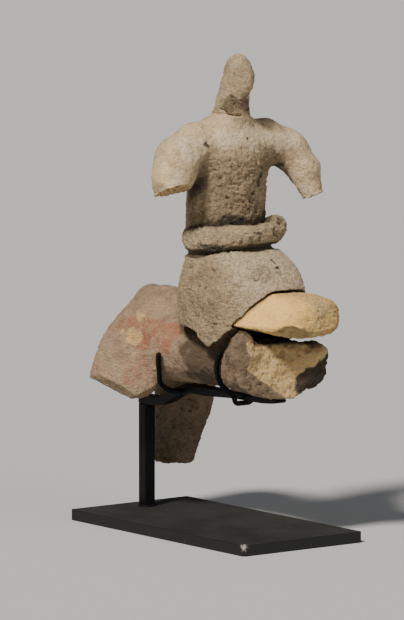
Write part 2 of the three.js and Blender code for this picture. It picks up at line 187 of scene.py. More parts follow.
def chance(cells, seed):
    """Five random numbers from 0 to 1 for every whole-numbered cell."""
    return CHANCES[(cells @ CELL_STEPS + seed * SEED_STEP) & (len(CHANCES) - 1)]


def noise(points, size, seed):
    """Smooth values from -1 to 1 that change over about size millimetres."""
    q = points @ TURN / size
    home = np.floor(q).astype(np.int64)
    f = q - home
    f = f * f * f * (f * (f * 6 - 15) + 10)
    total = np.zeros(len(points))
    for corner in itertools.product((0, 1), repeat=3):
        share = np.prod(np.where(corner, f, 1 - f), axis=1)
        total += share * chance(home + np.array(corner), seed)[:, 0]
    return total * 2 - 1


def rough(points, size, seed, rounds=3):
    """Noise with finer and finer noise added to it."""
    total = np.zeros(len(points))
    for k in range(rounds):
        total += noise(points, size / 2.1**k, seed + 11 * k) / 1.8**k
    return total


def pits(points, spacing, radius, share, seed):
    """0 on sound clay and up to 1 in the middle of ragged pits."""
    wander = np.stack([noise(points, 2.2, seed + 1 + i) for i in range(3)], 1)
    q = (points + 0.9 * radius * wander) @ TURN / spacing
    home = np.floor(q).astype(np.int64)
    deep = np.zeros(len(points))
    for corner in itertools.product((-1, 0, 1), repeat=3):
        cell = home + np.array(corner)
        lot = chance(cell, seed)
        away = np.linalg.norm(q - cell - 0.2 - 0.6 * lot[:, :3], axis=1)
        size = radius / spacing * (0.5 + lot[:, 3])
        deep = np.maximum(deep, np.where(lot[:, 4] < share, 1 - (away / size) ** 2, 0))
    return deep


# ---- clay as a distance: negative inside, positive outside


def join(a, b, soft):
    """Both lumps, with the joint between them thumbed over."""
    h = np.clip(0.5 + 0.5 * (b - a) / soft, 0, 1)
    return b + (a - b) * h - soft * h * (1 - h)


def cut(a, b, soft):
    """Only what lies inside both, with a worn edge."""
    return -join(-a, -b, soft)


def coil(p, start, end, start_radius, end_radius):
    """A rolled coil of clay from one point to another."""
    start, end = np.array(start, float), np.array(end, float)
    axis = end - start
    t = np.clip((p - start) @ axis / (axis @ axis), 0, 1)
    away = np.linalg.norm(p - start - t[:, None] * axis, axis=1)
    return away - start_radius - (end_radius - start_radius) * t


def lump(p, middle, radii):
    """An egg-shaped lump."""
    q = (p - np.array(middle, float)) / np.array(radii, float)
    near = np.linalg.norm(q, axis=1)
    slope = np.linalg.norm(q / np.array(radii, float), axis=1)
    return near * (near - 1) / np.maximum(slope, 1e-9)


def face(p, at, normal):
    """The face of a break. Clay on the side the normal points to is gone."""
    normal = np.array(normal, float)
    return (p - np.array(at, float)) @ (normal / np.linalg.norm(normal))


def through(rows, level):
    """Smooth lines through the columns of rows, at every level."""
    rows = np.array(rows, float)
    at, values = rows[:, 0], rows[:, 1:]
    slopes = np.gradient(values, at, axis=0)
    level = np.clip(level, at[0], at[-1])
    i = np.clip(np.searchsorted(at, level, side="right") - 1, 0, len(at) - 2)
    span = (at[i + 1] - at[i])[:, None]
    s = ((level - at[i]) / span[:, 0])[:, None]
    return (
        values[i] * (2 * s**3 - 3 * s**2 + 1)
        + values[i + 1] * (3 * s**2 - 2 * s**3)
        + slopes[i] * span * (s**3 - 2 * s**2 + s)
        + slopes[i + 1] * span * (s**3 - s**2)
    )


def rounds(p, rows, axis, ends, squareness):
    """Clay built up in ovals along an axis, 1 along the horse or 2 upwards.

    Rows hold the level, the oval's middle (two numbers) and its half sizes (two numbers)."""
    other = 1 if axis == 2 else 2
    level = p[:, axis]
    middle_x, middle_other, a, b = through(rows, level).T
    dx, dy = p[:, 0] - middle_x, p[:, other] - middle_other
    k = (np.abs(dx / a) ** squareness + np.abs(dy / b) ** squareness) ** (1 / squareness)
    slope = np.hypot(dx / a**2, dy / b**2) / np.maximum(k, 1e-6)
    side = np.where(k < 0.3, (k - 1) * np.minimum(a, b), (k - 1) / np.maximum(slope, 1e-6))
    beyond = np.maximum(rows[0][0] - level, level - rows[-1][0])
    return cut(side, beyond, ends)


def roll(p, middle, half_x, half_y, climb, tall):
    """Distance to a line laid round an oval waist, and the angle round it."""
    q = p - np.array(middle, float)
    spread = half_x**2 - half_y**2
    angle = np.arctan2(q[:, 1] / half_y, q[:, 0] / half_x)
    for _ in range(2):
        c, s = np.cos(angle), np.sin(angle)
        miss = spread * c * s - q[:, 0] * half_x * s + q[:, 1] * half_y * c
        rate = spread * (c * c - s * s) - q[:, 0] * half_x * c - q[:, 1] * half_y * s
        angle -= np.clip(miss / np.where(np.abs(rate) < 1, -1, rate), -0.3, 0.3)
    out = np.hypot(q[:, 0] - half_x * np.cos(angle), q[:, 1] - half_y * np.sin(angle))
    return np.hypot(out, (q[:, 2] - climb * q[:, 0]) / tall), angle


def around(angle, middle, width):
    """1 at one angle of a roll, fading to 0 at width degrees away from it."""
    turn = np.angle(np.exp(1j * (angle - math.radians(middle))))
    return np.clip(1 - (turn / math.radians(width)) ** 2, 0, 1)


# ---- the figure's lumps of clay. Rows are ovals, as rounds() takes them, and breaks are faces.

BODY_ROWS = [
    (140, 0, -9, 20, 14), (158, 0, -9, 22.7, 15), (172, 0, -9.6, 23.4, 15), (186, 0, -10.6, 24, 15.2),
    (198, 0, -11.5, 26, 15), (206, 0, -12, 25, 13.6), (212, 0, -12, 19, 11.5), (217.5, 0, -12.5, 12, 10),
]

# Crack round the neck: angle round it and height.
NECK_CRACK = [(-176, 223.4), (-169, 222.6), (-152, 221.3), (-137, 219.7), (-118, 219), (-96, 218.6)]

RIGHT_ARM_BREAK = ((-42.5, -19, 181.6), (0.02, -0.36, -1))
RIGHT_ARM_CHIP = ((-47.5, -17, 182), (-0.88, -0.1, -0.45))
LEFT_ARM_BREAK = ((46.5, -23.2, 174.6), (0.35, -0.25, -1))


def rider_body(p):
    """Slab torso with a coil for the shoulders and a slope from the neck."""
    yoke = coil(p, (-22, -11.5, 205), (22, -11.5, 205), 9.2, 9.2)
    slope = coil(p, (-6, -13, 213.5), (-24, -12, 207.6), 5, 6)
    return join(join(rounds(p, BODY_ROWS, 2, 3, 2), yoke, 5), slope, 4)


def right_arm(p):
    """Stump with a flat break underneath and a chip on its outer side."""
    shoulder = coil(p, (-22, -11, 202.6), (-33.8, -13, 196.8), 10.4, 11.1)
    arm = coil(p, (-33.8, -13, 196.8), (-38.8, -15.6, 188), 11.1, 10.9)
    end = coil(p, (-38.8, -15.6, 188), (-43, -18.4, 178), 10.9, 9.1)
    arm = cut(join(shoulder, np.minimum(arm, end), 5), face(p, *RIGHT_ARM_BREAK), 0.9)
    return cut(arm, face(p, *RIGHT_ARM_CHIP), 1.2)


def left_arm(p):
    """Thinner stump, longer than the other one."""
    shoulder = coil(p, (24, -11, 203.2), (37.8, -15.6, 196.2), 10.6, 9.1)
    shoulder = join(shoulder, coil(p, (27, -12.5, 203), (36, -15, 201), 9.6, 9), 3)
    arm = coil(p, (38.4, -16, 196), (43, -19.3, 188), 9.1, 9)
    end = coil(p, (43, -19.3, 188), (47.2, -24.2, 171), 9, 5.2)
    return cut(join(join(shoulder, arm, 4), end, 2), face(p, *LEFT_ARM_BREAK), 0.9)


def rider_head(p):
    """Neck and a pinched head without features."""
    neck = coil(p, (-0.5, -13, 212), (0, -17, 232), 10.3, 8.3)
    skull = lump(p, (0.2, -19.5, 238.5), (6.8, 9.3, 11.8))
    front = lump(p, (0.5, -24.6, 237), (5.4, 5.2, 8.2))
    return join(join(neck, skull, 3), front, 1.5)


def rider(p):
    """Torso, arm stumps and head in one lump."""
    d = join(join(rider_body(p), right_arm(p), 5), left_arm(p), 5)
    return join(d, rider_head(p), 3.5)


SKIRT_ROWS = [
    (94, 0, -24, 27, 33), (106, 0, -22.5, 29, 34), (118, 0, -22, 30.2, 34), (128, 0, -22.5, 31, 34),
    (137, 1, -21, 29.8, 30), (144, 1, -18, 27.6, 24), (150, 0.5, -13.5, 24.5, 18.5), (156, 0, -10, 22, 15),
]

# Lower edge of the skirt: place along Y and height.
HEM_ROWS = [
    (-58, 122), (-50, 117), (-45, 111.5), (-40, 107), (-34, 103), (-29, 101.3), (-25, 104), (-21, 108),
    (-12, 109.6), (0, 109.4), (12, 108.5),
]


def skirt_cloth(p):
    """Bell-shaped skirt down to its hem, before anything is cut from it."""
    hem = 0.75 * (through(HEM_ROWS, p[:, 1])[:, 0] - p[:, 2])
    return cut(rounds(p, SKIRT_ROWS, 2, 4, 2.2), hem, 1.5)


def belt(p):
    """Lumpy roll round the waist, with a thick end at the rider's left."""
    away, angle = roll(p, (2, -12.6, 156.3), 23.8, 14.8, 0.04, 1.16)
    radius = 5.1 + 0.9 * around(angle, -140, 50) + 0.8 * around(angle, -20, 35) + 0.55 * noise(p, 6, 91)
    end = lump(p, (22.5, -22.5, 160), (6.2, 6, 6.4))
    return join(away - radius, end, 2)


BARREL_ROWS = [
    (-50, 0, 91, 22, 15), (-30, 0, 93, 20, 16.5), (-10, 0, 94.5, 19.5, 17.5), (10, 0, 94.8, 20.5, 18.5),
    (26, 0, 96.9, 22.5, 21.4), (40, 0, 101, 23, 23.5), (52, 0, 101.5, 20.5, 21.5), (62, 0, 101, 13, 15),
    (67, 0, 100, 5, 7),
]
RIGHT_LEG_ROWS = [
    (56, -30, 47, 9.3, 15.5), (66, -28, 46, 10.3, 17.5), (76, -25.3, 45, 11.8, 19),
    (88, -21, 44.7, 13.8, 19), (100, -15, 44.5, 15, 17.5), (111, -10, 43.5, 13, 14),
]
LEFT_LEG_ROWS = [
    (24, 19, 62.3, 8.5, 10.9), (36, 19.5, 60.2, 9.8, 14.2), (50, 20, 57, 11.3, 17.7),
    (66, 19.5, 52.4, 12.4, 20.6), (80, 17, 48.5, 12.8, 21), (98, 11, 45.5, 14, 19),
]
CHEST_ROWS = [
    (-72, 0, 88, 21, 15.5), (-61, 0.3, 89.3, 24.5, 14.8), (-54, 0.5, 90.3, 25.8, 14),
    (-46, 0, 91, 26, 13.6), (-37, 0, 91, 25, 14),
]
NECK_ROWS = [
    (-80, 11, 118, 8, 7.5), (-74, 8.5, 118.3, 15.5, 10), (-66, 5.5, 118.3, 20.5, 11.1),
    (-54, 1.5, 118.6, 24, 11.3), (-42, -1.5, 118.5, 24.5, 10.8), (-28, -1, 118, 22, 10.5),
]

RIGHT_LEG_BREAK = ((-35.5, 51, 76.4), (-0.775, -0.06, -0.63))
RIGHT_LEG_END = ((-30, 43.3, 69.8), (0, 0.365, -1))
RIGHT_LEG_FRONT = ((-26, 36.7, 66.2), (0.12, -0.6, -1))
LEFT_LEG_BREAK = ((20, 61, 27), (-0.1, -0.1, -1))
CHEST_BREAK = ((0, -57.5, 89), (-0.12, -0.95, 0.12))
CORNER_BREAK = ((15, -58, 79.5), (0.55, -0.45, -0.6))

# Hollows broken out of the neck root and the chest: middle and half sizes.
NECK_DENT = ((-8.5, -75, 105.6), (13, 9.5, 8.6))
CHEST_DENTS = [((1, -61, 87), (9, 4.5, 4.5)), ((-8, -61, 80.5), (6, 3, 2.5)), ((6, -62, 81), (5, 4, 3))]


def chest(p):
    """Broken stump of the horse's chest."""
    block = cut(rounds(p, CHEST_ROWS, 1, 3, 3), face(p, *CHEST_BREAK), 1.0)
    block = cut(block, face(p, *CORNER_BREAK), 4)
    block = join(block, lump(p, (20.5, -52.5, 91), (9.5, 9.5, 12.5)), 2)
    block = join(block, lump(p, (23, -54, 96.5), (8, 7, 7)), 2)
    block = join(block, lump(p, (-18.5, -48, 100), (7, 8, 11)), 3)
    for middle, radii in CHEST_DENTS:
        block = cut(block, -lump(p, middle, radii), 1.5)
    return block


def horse(p):
    """Barrel, rump, leg stumps and chest in one lump."""
    tail_root = lump(p, (0, 56, 114), (9, 7.5, 10))
    barrel = join(rounds(p, BARREL_ROWS, 1, 4, 2), tail_root, 4)
    turned = p.copy()
    turned[:, 0] += (p[:, 1] - 46) / 3
    right_leg = cut(rounds(turned, RIGHT_LEG_ROWS, 2, 4, 2), face(p, *RIGHT_LEG_BREAK), 1.0)
    right_leg = cut(cut(right_leg, face(p, *RIGHT_LEG_END), 1.0), face(p, *RIGHT_LEG_FRONT), 1.0)
    left_leg = cut(rounds(p, LEFT_LEG_ROWS, 2, 4, 2), face(p, *LEFT_LEG_BREAK), 2)
    body = join(join(barrel, right_leg, 7), left_leg, 8)
    tail_scar = lump(p, (-5.5, 59, 117), (2.6, 2.6, 2.6))
    return join(cut(body, -tail_scar, 1), chest(p), 3)


def neck_root(p):
    """Flat slab in front, with its upper right corner worn off."""
    slab = rounds(p, NECK_ROWS, 1, 3, 2.8)
    slab = cut(slab, face(p, (-15.2, -53, 123.6), (-0.8, -0.3, 0.3)), 2)
    slab = cut(slab, face(p, (-10, -54.4, 127), (-0.55, -0.19, 0.81)), 2)
    slab = cut(slab, face(p, (-6, -60, 109.2), (-0.23, 0, -0.97)), 1.5)
    return cut(slab, -lump(p, *NECK_DENT), 1.2)


def skirt(p):
    """Skirt, held a crack's width off the neck root and cut back over the gap above the chest."""
    cloth = skirt_cloth(p)
    depth = np.clip(1 + cloth / 5, 0, 1)
    width = settings("clay").crack / MM * depth * (1 + 0.5 * noise(p, 5, 61)) - 0.4 * (1 - depth)
    cloth = cut(cloth, width - neck_root(p), 0.4)
    slot = cut(np.abs(p[:, 2] - 106.8) - 2.2, p[:, 1] + 41, 1)
    away, _ = roll(p, (1, -12.8, 149.2), 25.6, 17.5, 0.04, 1)
    return cut(cut(cloth, -slot, 1), 2 - away, 1)


def whole(p):
    """All the clay at once."""
    lower = np.minimum(np.minimum(horse(p), neck_root(p)), skirt_cloth(p))
    return np.minimum(lower, np.minimum(belt(p), rider(p)))


SHELTER_REACHES = (3, 8, 16)


def sheltered(points, out):
    """Painted shade: 0 in the open and up to 1 where other clay stands close over the surface."""
    found = np.zeros(len(points))
    for reach in SHELTER_REACHES:
        found += np.clip(1 - whole(points + out * reach) / reach, 0, 1.5)
    return np.clip(found / 1.9 - 0.12, 0, 1)


def belly_height(inner=96.0, outer=40.0):
    """Lowest clay over the level part of the bar, found between two heights."""
    x, y = np.meshgrid((-3, 0, 3), np.arange(18, BAR_LOW[1], -3))
    inside = np.full(x.size, inner)
    outside = np.full(x.size, outer)
    for _ in range(20):
        middle = (inside + outside) / 2
        solid = horse(np.stack((x.ravel(), y.ravel(), middle), 1)) < 0
        inside = np.where(solid, middle, inside)
        outside = np.where(solid, outside, middle)
    return inside.min()


# The figure is raised by so much to clear the bar.
LIFT = BAR_HIGH[2] + AIR_GAP - belly_height()


# ---- skin of the clay

FAR = 99.0
BATCH = 300000


def sample(field, low, high, cell, coarse=4):
    """Distances on a fine grid, worked out only in the blocks near the surface."""
    low, high = np.array(low, float), np.array(high, float)
    wide = cell * coarse
    count = np.ceil((high - low) / wide).astype(int)
    axes = [low[i] + wide * (np.arange(count[i]) + 0.5) for i in range(3)]
    grid = np.stack(np.meshgrid(*axes, indexing="ij"), -1).reshape(-1, 3)
    rough_values = field(grid).reshape(count)
    spread = np.ones((coarse,) * 3)
    # Fields are only near to true distances, so a block counts as near from further off than it is wide.
    margin = wide * 1.9 + 1
    near = np.kron(np.abs(rough_values) < margin, spread).astype(bool)
    values = np.where(np.kron(rough_values < 0, spread).astype(bool), -FAR, FAR)
    at = np.argwhere(near)
    start = low + cell / 2
    for part in np.array_split(at, max(1, len(at) // BATCH)):
        values[tuple(part.T)] = field(start + cell * part)
    return values, start


def skin(field, low, high, cell):
    """One corner in every cell that the surface crosses, joined in quads."""
    values, start = sample(field, low, high, cell)
    inside = values < 0
    size = np.array(values.shape)
    filled = np.zeros(size - 1, int)
    for corner in itertools.product((0, 1), repeat=3):
        filled += inside[tuple(slice(c, n - 1 + c) for c, n in zip(corner, size))]
    cells = np.argwhere((filled > 0) & (filled < 8))
    number = np.full(size - 1, -1)
    number[tuple(cells.T)] = np.arange(len(cells))
    total = np.zeros((len(cells), 3))
    crossings = np.zeros(len(cells))
    for a, b in itertools.combinations(list(itertools.product((0, 1), repeat=3)), 2):
        a, b = np.array(a), np.array(b)
        if np.abs(a - b).sum() == 1:
            start_value = values[tuple((cells + a).T)]
            end_value = values[tuple((cells + b).T)]
            crossed = (start_value < 0) != (end_value < 0)
            t = np.where(crossed, start_value / np.where(crossed, start_value - end_value, 1), 0)
            total += crossed[:, None] * (a + t[:, None] * (b - a))
            crossings += crossed
    points = start + cell * (cells + total / crossings[:, None])
    quads = []
    for axis in range(3):
        first, second = [i for i in range(3) if i != axis]
        here = [slice(None)] * 3
        there = [slice(None)] * 3
        here[axis], there[axis] = slice(0, -1), slice(1, None)
        edges = np.argwhere(inside[tuple(here)] != inside[tuple(there)])
        kept = (edges[:, first] > 0) & (edges[:, second] > 0)
        kept &= (edges[:, first] < size[first] - 1) & (edges[:, second] < size[second] - 1)
        edges = edges[kept]
        ring = []
        for step_first, step_second in ((-1, -1), (0, -1), (0, 0), (-1, 0)):
            cell_at = edges.copy()
            cell_at[:, first] += step_first
            cell_at[:, second] += step_second
            ring.append(number[tuple(cell_at.T)])
        ring = np.stack(ring, 1)
        outward = inside[tuple(edges.T)] ^ (axis == 1)
        quads.append(np.where(outward[:, None], ring, ring[:, ::-1]))
    return points, np.concatenate(quads)


def normals_of(points, quads):
    """Direction out of the clay at every corner."""
    corners = points[quads]
    across = np.cross(corners[:, 2] - corners[:, 0], corners[:, 3] - corners[:, 1])
    out = np.stack(
        [np.bincount(quads.ravel(), np.repeat(across[:, i], 4), len(points)) for i in range(3)], 1
    )
    return out / np.maximum(np.linalg.norm(out, axis=1, keepdims=True), 1e-9)


def patch(points, middle, radius, seed=1, ragged=0.35):
    """1 inside a ragged patch and 0 outside it; radius may be one number or three."""
    away = np.linalg.norm((points - np.array(middle, float)) / np.array(radius, float), axis=1)
    away += ragged * noise(points, np.min(radius) * 0.7 + 0.8, seed)
    return np.clip((1.15 - away) / 0.4, 0, 1)


def patches(points, spots, seed=1, ragged=0.35):
    """The strongest of several patches at each point."""
    found = [patch(points, middle, radius, seed + i, ragged) for i, (middle, radius) in enumerate(spots)]
    return np.max(found, axis=0)


# Each mark is a number from 0 to 1 at every point of the clay, but dug is a depth.
MARKS = ("broken", "hollow", "worn", "slip", "ochre", "paint", "soot_and_shade", "dug", "earth_and_shade", "rose")

# Tilts and squeezes places, so that grain made from them runs in slanting streaks.
SLANT = np.array(Matrix.Rotation(0.45, 3, "Y")) @ np.diag((1, 1, 1.9))
PIT_DEPTH = 0.9

# Where each piece of clay lies: lowest and highest corner.
CLAY_BOXES = {
    "horse": ((-50, -68, 22), (40, 78, 132)),
    "neck_root": ((-32, -86, 98), (34, -22, 136)),
    "skirt": ((-36, -62, 88), (36, 18, 162)),
    "belt": ((-36, -40, 144), (40, 14, 172)),
    "rider": ((-58, -40, 136), (58, 10, 256)),
}


def relief(points, worn, broken):
    """Heights in millimetres of finger dents, grain and crumb, and the depth of pits from 0 to 1."""
    look = settings("clay")
    hand = look.hand / MM * (0.7 * noise(points, 15, 1) + 0.3 * noise(points, 7, 2) - 0.35)
    striped = points @ SLANT
    grain = worn * (0.34 * rough(striped, 2.3, 3) + 0.45 * noise(striped, 1.6, 8))
    grain += 0.24 * rough(points, 2.2, 9, 2)
    crumb = 0.5 * rough(points, 4, 21) + 0.5 * np.abs(noise(points, 1.9, 25)) - 0.3
    crumb *= look.crumb / MM * broken
    hole = np.max([
        pits(points, 4.6, 0.7, 0.03 + 0.19 * worn, 31),
        broken * pits(points, 3.3, 0.85, 0.36, 43),
        (0.2 + 0.8 * worn) * pits(points, 2.6, 0.5, 0.32, 37),
    ], axis=0)
    return hand, grain, crumb, hole


def clay_piece(name, field, marks):
    """A lump of clay as a mesh: smooth skin, then dents, grain, pits and breaks along its normals."""
    cell = settings("clay").cell / MM * 1
    points, quads = skin(field, *CLAY_BOXES[name], cell)
    out = normals_of(points, quads)
    mark = {key: np.zeros(len(points)) for key in MARKS}
    mark.update(marks(points, out))
    # Painted shade: clay is darkened wherever other clay stands close over it.
    mark["earth_and_shade"] = np.maximum(mark["earth_and_shade"], sheltered(points, out))
    broken = mark["broken"]
    hand, grain, crumb, hole = relief(points, mark["worn"], broken)
    height = hand * (1 - broken) + grain * (1 - 0.7 * broken) + crumb - PIT_DEPTH * hole
    height -= mark.pop("dug")
    low_places = np.maximum(hole, -(grain + crumb) * 1.45)
    mark["hollow"] = np.clip(np.maximum(mark["hollow"], low_places), 0, 1)
    points = points + out * height[:, None]
    points[:, 2] += LIFT
    mesh = bpy.data.meshes.new(name)
    mesh.from_pydata((points * MM).tolist(), [], quads.tolist())
    mesh.shade_smooth()
    for key, value in mark.items():
        mesh.attributes.new(key, "FLOAT", "POINT").data.foreach_set("value", value.astype(np.float32))
    piece = bpy.data.objects.new(name, mesh)
    bpy.context.scene.collection.objects.link(piece)
    mesh.materials.append(terracotta())
    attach(piece, BODY)
    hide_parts(CLAY_NODE)
    return piece


# ---- steel


def piece_from(name, points, faces, material, nodes=(), even=False):
    """A steel piece from corners in millimetres. Even keeps wide flats flat beside rounded edges."""
    mesh = bpy.data.meshes.new(name)
    mesh.from_pydata((np.array(points) * MM).tolist(), [], [list(map(int, one)) for one in faces])
    shape = bmesh.new()
    shape.from_mesh(mesh)
    bmesh.ops.recalc_face_normals(shape, faces=shape.faces)
    shape.to_mesh(mesh)
    shape.free()
    mesh.shade_smooth()
    mesh.materials.append(material)
    piece = bpy.data.objects.new(name, mesh)
    bpy.context.scene.collection.objects.link(piece)
    if even:
        piece.modifiers.new("even", "WEIGHTED_NORMAL").weight = 100
    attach(piece, BODY)
    if nodes:
        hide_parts(*nodes)
    return piece


def sweep(name, middles, across, outlines, material, nodes=(), even=False):
    """Skin over outlines set square to a line. Across is the direction of their first number."""
    middles, across = np.array(middles, float), np.array(across, float)
    along = np.gradient(middles, axis=0)
    along /= np.linalg.norm(along, axis=1, keepdims=True)
    up = np.cross(across, along)
    up /= np.linalg.norm(up, axis=1, keepdims=True)
    rings = middles[:, None] + outlines[..., :1] * across + outlines[..., 1:] * up[:, None]
    count, sides = outlines.shape[:2]
    faces = [np.arange(sides), np.arange(sides) + (count - 1) * sides]
    for ring in range(count - 1):
        for i in range(sides):
            j = (i + 1) % sides
            faces.append((ring * sides + i, ring * sides + j, (ring + 1) * sides + j, (ring + 1) * sides + i))
    return piece_from(name, rings.reshape(-1, 3), faces, material, nodes, even)


def circle(radii, sides=14):
    """Round outlines, one for each radius."""
    turn = 2 * np.pi * np.arange(sides) / sides
    return np.array(radii)[:, None, None] * np.stack((np.cos(turn), np.sin(turn)), 1)


def rounded_rod(points, radius, sawn_start=False):
    """A line lengthened by a half ball at each end, or only at its far end if the start is sawn
    off, with the radius at each of its points."""
    points = np.array(points, float)
    far = points[-1] - points[-2]
    far /= np.linalg.norm(far)
    near = points[0] - points[1]
    near /= np.linalg.norm(near)
    tilt = np.radians((20, 40, 60, 75, 86))
    tail = points[-1] + radius * np.sin(tilt)[:, None] * far
    head = points[0] + radius * np.sin(tilt[::-1])[:, None] * near
    radii = radius * np.concatenate((np.cos(tilt[::-1]), np.ones(len(points)), np.cos(tilt)))
    points = np.concatenate((head, points, tail))
    skipped = len(tilt) if sawn_start else 0
    return points[skipped:], radii[skipped:]


def bar_top(y):
    """Height of the bar's upper side."""
    t = np.clip((BAR_RISE[0] - y) / (BAR_RISE[0] - BAR_RISE[1]), 0, 1)
    seat = POST_HIGH[2] + BAR_DEPTH
    return seat + (BAR_HIGH[2] - seat) * t * t * (3 - 2 * t)


def bar_depth(y):
    """How deep the bar is from its upper to its lower side."""
    t = np.clip((BAR_THIN[0] - y) / (BAR_THIN[0] - BAR_THIN[1]), 0, 1)
    nose = np.clip((y - BAR_LOW[1]) / BAR_TAPER, 0, 1)
    return (BAR_DEPTH + (BAR_FRONT_DEPTH - BAR_DEPTH) * t) * (0.45 + 0.55 * np.sqrt(nose))


def bar_section(p):
    """Distance to the bar, taken as a box at each place along it."""
    across = np.abs(p[:, 0]) - BAR_HIGH[0]
    deep = np.abs(p[:, 2] - bar_top(p[:, 1]) + bar_depth(p[:, 1]) / 2) - bar_depth(p[:, 1]) / 2
    return np.hypot(np.maximum(across, 0), np.maximum(deep, 0)) + np.minimum(np.maximum(across, deep), 0)


def crossing(prong):
    """Height at which a prong passes under the bar."""
    return bar_top(prong[0]) - bar_depth(prong[0]) - AIR_GAP - WIRE / 2


def lean(prong):
    """How far a prong moves along Y for each millimetre that it climbs."""
    return (prong[2] - prong[0]) / (prong[1] - crossing(prong))


def hug_line(prong, side):
    """Middle line of one side of a prong, one gap off the clay and off the bar."""
    # Rays from a hub turn from straight down to past level, and stop where they first come clear.
    hub = 0.5 * (BAR_HIGH[2] + prong[1])
    angle = np.arange(41)[:, None] * math.pi / 48
    reach = np.arange(0, 60, 0.1)[None]
    x = side * np.sin(angle) * reach
    z = hub - np.cos(angle) * reach
    y = prong[0] + lean(prong) * (z - crossing(prong))
    p = np.stack((x.ravel(), y.ravel(), z.ravel()), 1)
    clay = np.minimum(horse(p - (0, 0, LIFT)), skirt_cloth(p - (0, 0, LIFT))) - WIRE_SLACK
    clear = join(clay, bar_section(p), 8) - AIR_GAP - WIRE / 2
    first = np.argmax(clear.reshape(x.shape) >= 0, axis=1)
    line = p.reshape(*x.shape, 3)[np.arange(len(first)), first]
    stop = np.argmax(line[:, 2] > prong[1]) or len(line)
    return line[:stop]


def eased(points, step=0.8):
    """The same line with its points evenly and closely spaced."""
    points = np.array(points, float)
    gone = np.concatenate(([0], np.cumsum(np.linalg.norm(np.diff(points, axis=0), axis=1))))
    rows = np.concatenate((gone[:, None], points), 1)
    return through(rows, np.linspace(0, gone[-1], int(gone[-1] / step) + 2))


# What was knocked off the plate's corner: place from the corner, and direction out of the plate.
PLATE_KNOCKS = (
    ((0.9, 0.5, 0), (-0.7, -0.6, 0.45)), ((0.5, 1.6, -0.3), (-0.8, -0.3, 0.5)),
    ((1.8, 0.4, -0.3), (-0.25, -0.85, 0.45)), ((0.6, 0.6, -5.2), (-0.6, -0.6, -0.5)),
)


def box_piece(name, low, high, edge, material, node, knocks=()):
    """A filed bar or plate. Each knock is a place and a direction that was beaten off."""
    shape = bmesh.new()
    bmesh.ops.create_cube(shape, size=1)
    size, middle = (high - low), (high + low) / 2
    for vertex in shape.verts:
        vertex.co = Vector(middle + np.array(vertex.co) * size)
    bmesh.ops.bevel(shape, geom=shape.edges[:], offset=edge, segments=3, profile=0.5, affect="EDGES")
    for place, direction in knocks:
        everything = shape.verts[:] + shape.edges[:] + shape.faces[:]
        done = bmesh.ops.bisect_plane(
            shape, geom=everything, plane_co=place, plane_no=direction, clear_outer=True
        )
        rim = [one for one in done["geom_cut"] if isinstance(one, bmesh.types.BMEdge)]
        bmesh.ops.edgeloop_fill(shape, edges=rim)
    shape.verts.ensure_lookup_table()
    shape.verts.index_update()
    points = [vertex.co[:] for vertex in shape.verts]
    faces = [[vertex.index for vertex in one.verts] for one in shape.faces]
    shape.free()
    return piece_from(name, points, faces, material, (node,), True)


def weld(name, start, end, radius):
    """A short bead of weld, lumpy along its length."""
    line = np.linspace(start, end, WELD_RINGS)
    t = np.linspace(-1, 1, WELD_RINGS)
    radii = radius * np.sqrt(np.clip(1 - t**4, 0.03, 1)) * (1 + 0.12 * np.sin(t * 14))
    sweep(name, line, (0, 0, 1), circle(radii), black_steel())


def bar_piece(edge):
    """The bent bar, with filed edges all along and a rounded nose."""
    y = np.linspace(BAR_HIGH[1], BAR_LOW[1] + BAR_NOSE, BAR_RINGS)
    nose = np.sin(np.radians((30, 55, 75, 90)))
    y = np.concatenate((y, BAR_LOW[1] + BAR_NOSE - BAR_NOSE * nose))
    depth = bar_depth(y)
    slope = np.gradient(bar_top(y), y)
    square = 1 / np.hypot(1, slope)
    middle = np.stack((0 * y, y + slope * square * depth / 2, bar_top(y) - square * depth / 2), 1)
    middle[0, 1] = BAR_HIGH[1]
    # The last ring stays a little open, so that its edges keep a length.
    tip = np.concatenate((np.ones(BAR_RINGS), np.cos(np.radians((30, 55, 75, 84)))))
    turn = (np.radians((0, 30, 60, 90)) + np.arange(4)[:, None] * np.pi / 2).ravel()
    bend = np.stack((np.cos(turn), np.sin(turn)), 1)
    side = np.repeat(((1, 1), (-1, 1), (-1, -1), (1, -1)), 4, axis=0)
    half = np.stack((BAR_HIGH[0] - 0.4 * (1 - tip), depth / 2 * tip), 1)
    filed = np.minimum(edge, half[:, 1:] * 0.8)
    outlines = side * (half[:, None] - filed[:, None]) + filed[:, None] * bend
    sweep("bar", middle, (1, 0, 0), outlines, black_steel(), ("cradle_bar",), True)


def wire(name, points, prong, node, sawn_start=False):
    """A round wire along a line that lies in a prong's leaning plane."""
    line, radii = rounded_rod(eased(points), WIRE / 2, sawn_start)
    across = np.array((0, 1, -lean(prong)))
    sweep(name, line, across / np.linalg.norm(across), circle(radii), black_steel(), (node,))


def rear_wire(name, side):
    """A rear wire from the bar's side out and up the flank, and its weld."""
    z = bar_top(REAR_PRONG[0]) - REAR_DROP
    y = REAR_PRONG[0] + lean(REAR_PRONG) * (z - crossing(REAR_PRONG))
    rest = hug_line(REAR_PRONG, side)
    rest = rest[rest[:, 2] > REAR_REST]
    start = [(side * BAR_HIGH[0], y, z), (side * (BAR_HIGH[0] + WIRE), y, z)]
    wire(f"rear_wire_{name}", np.concatenate((start, rest)), REAR_PRONG, f"rear_prong_{name}", True)
    x = side * (BAR_HIGH[0] + 0.1)
    weld(f"wire_weld_{name}", (x, y - 1.7, z - 0.4), (x, y + 1.7, z - 0.2), WIRE_WELD)


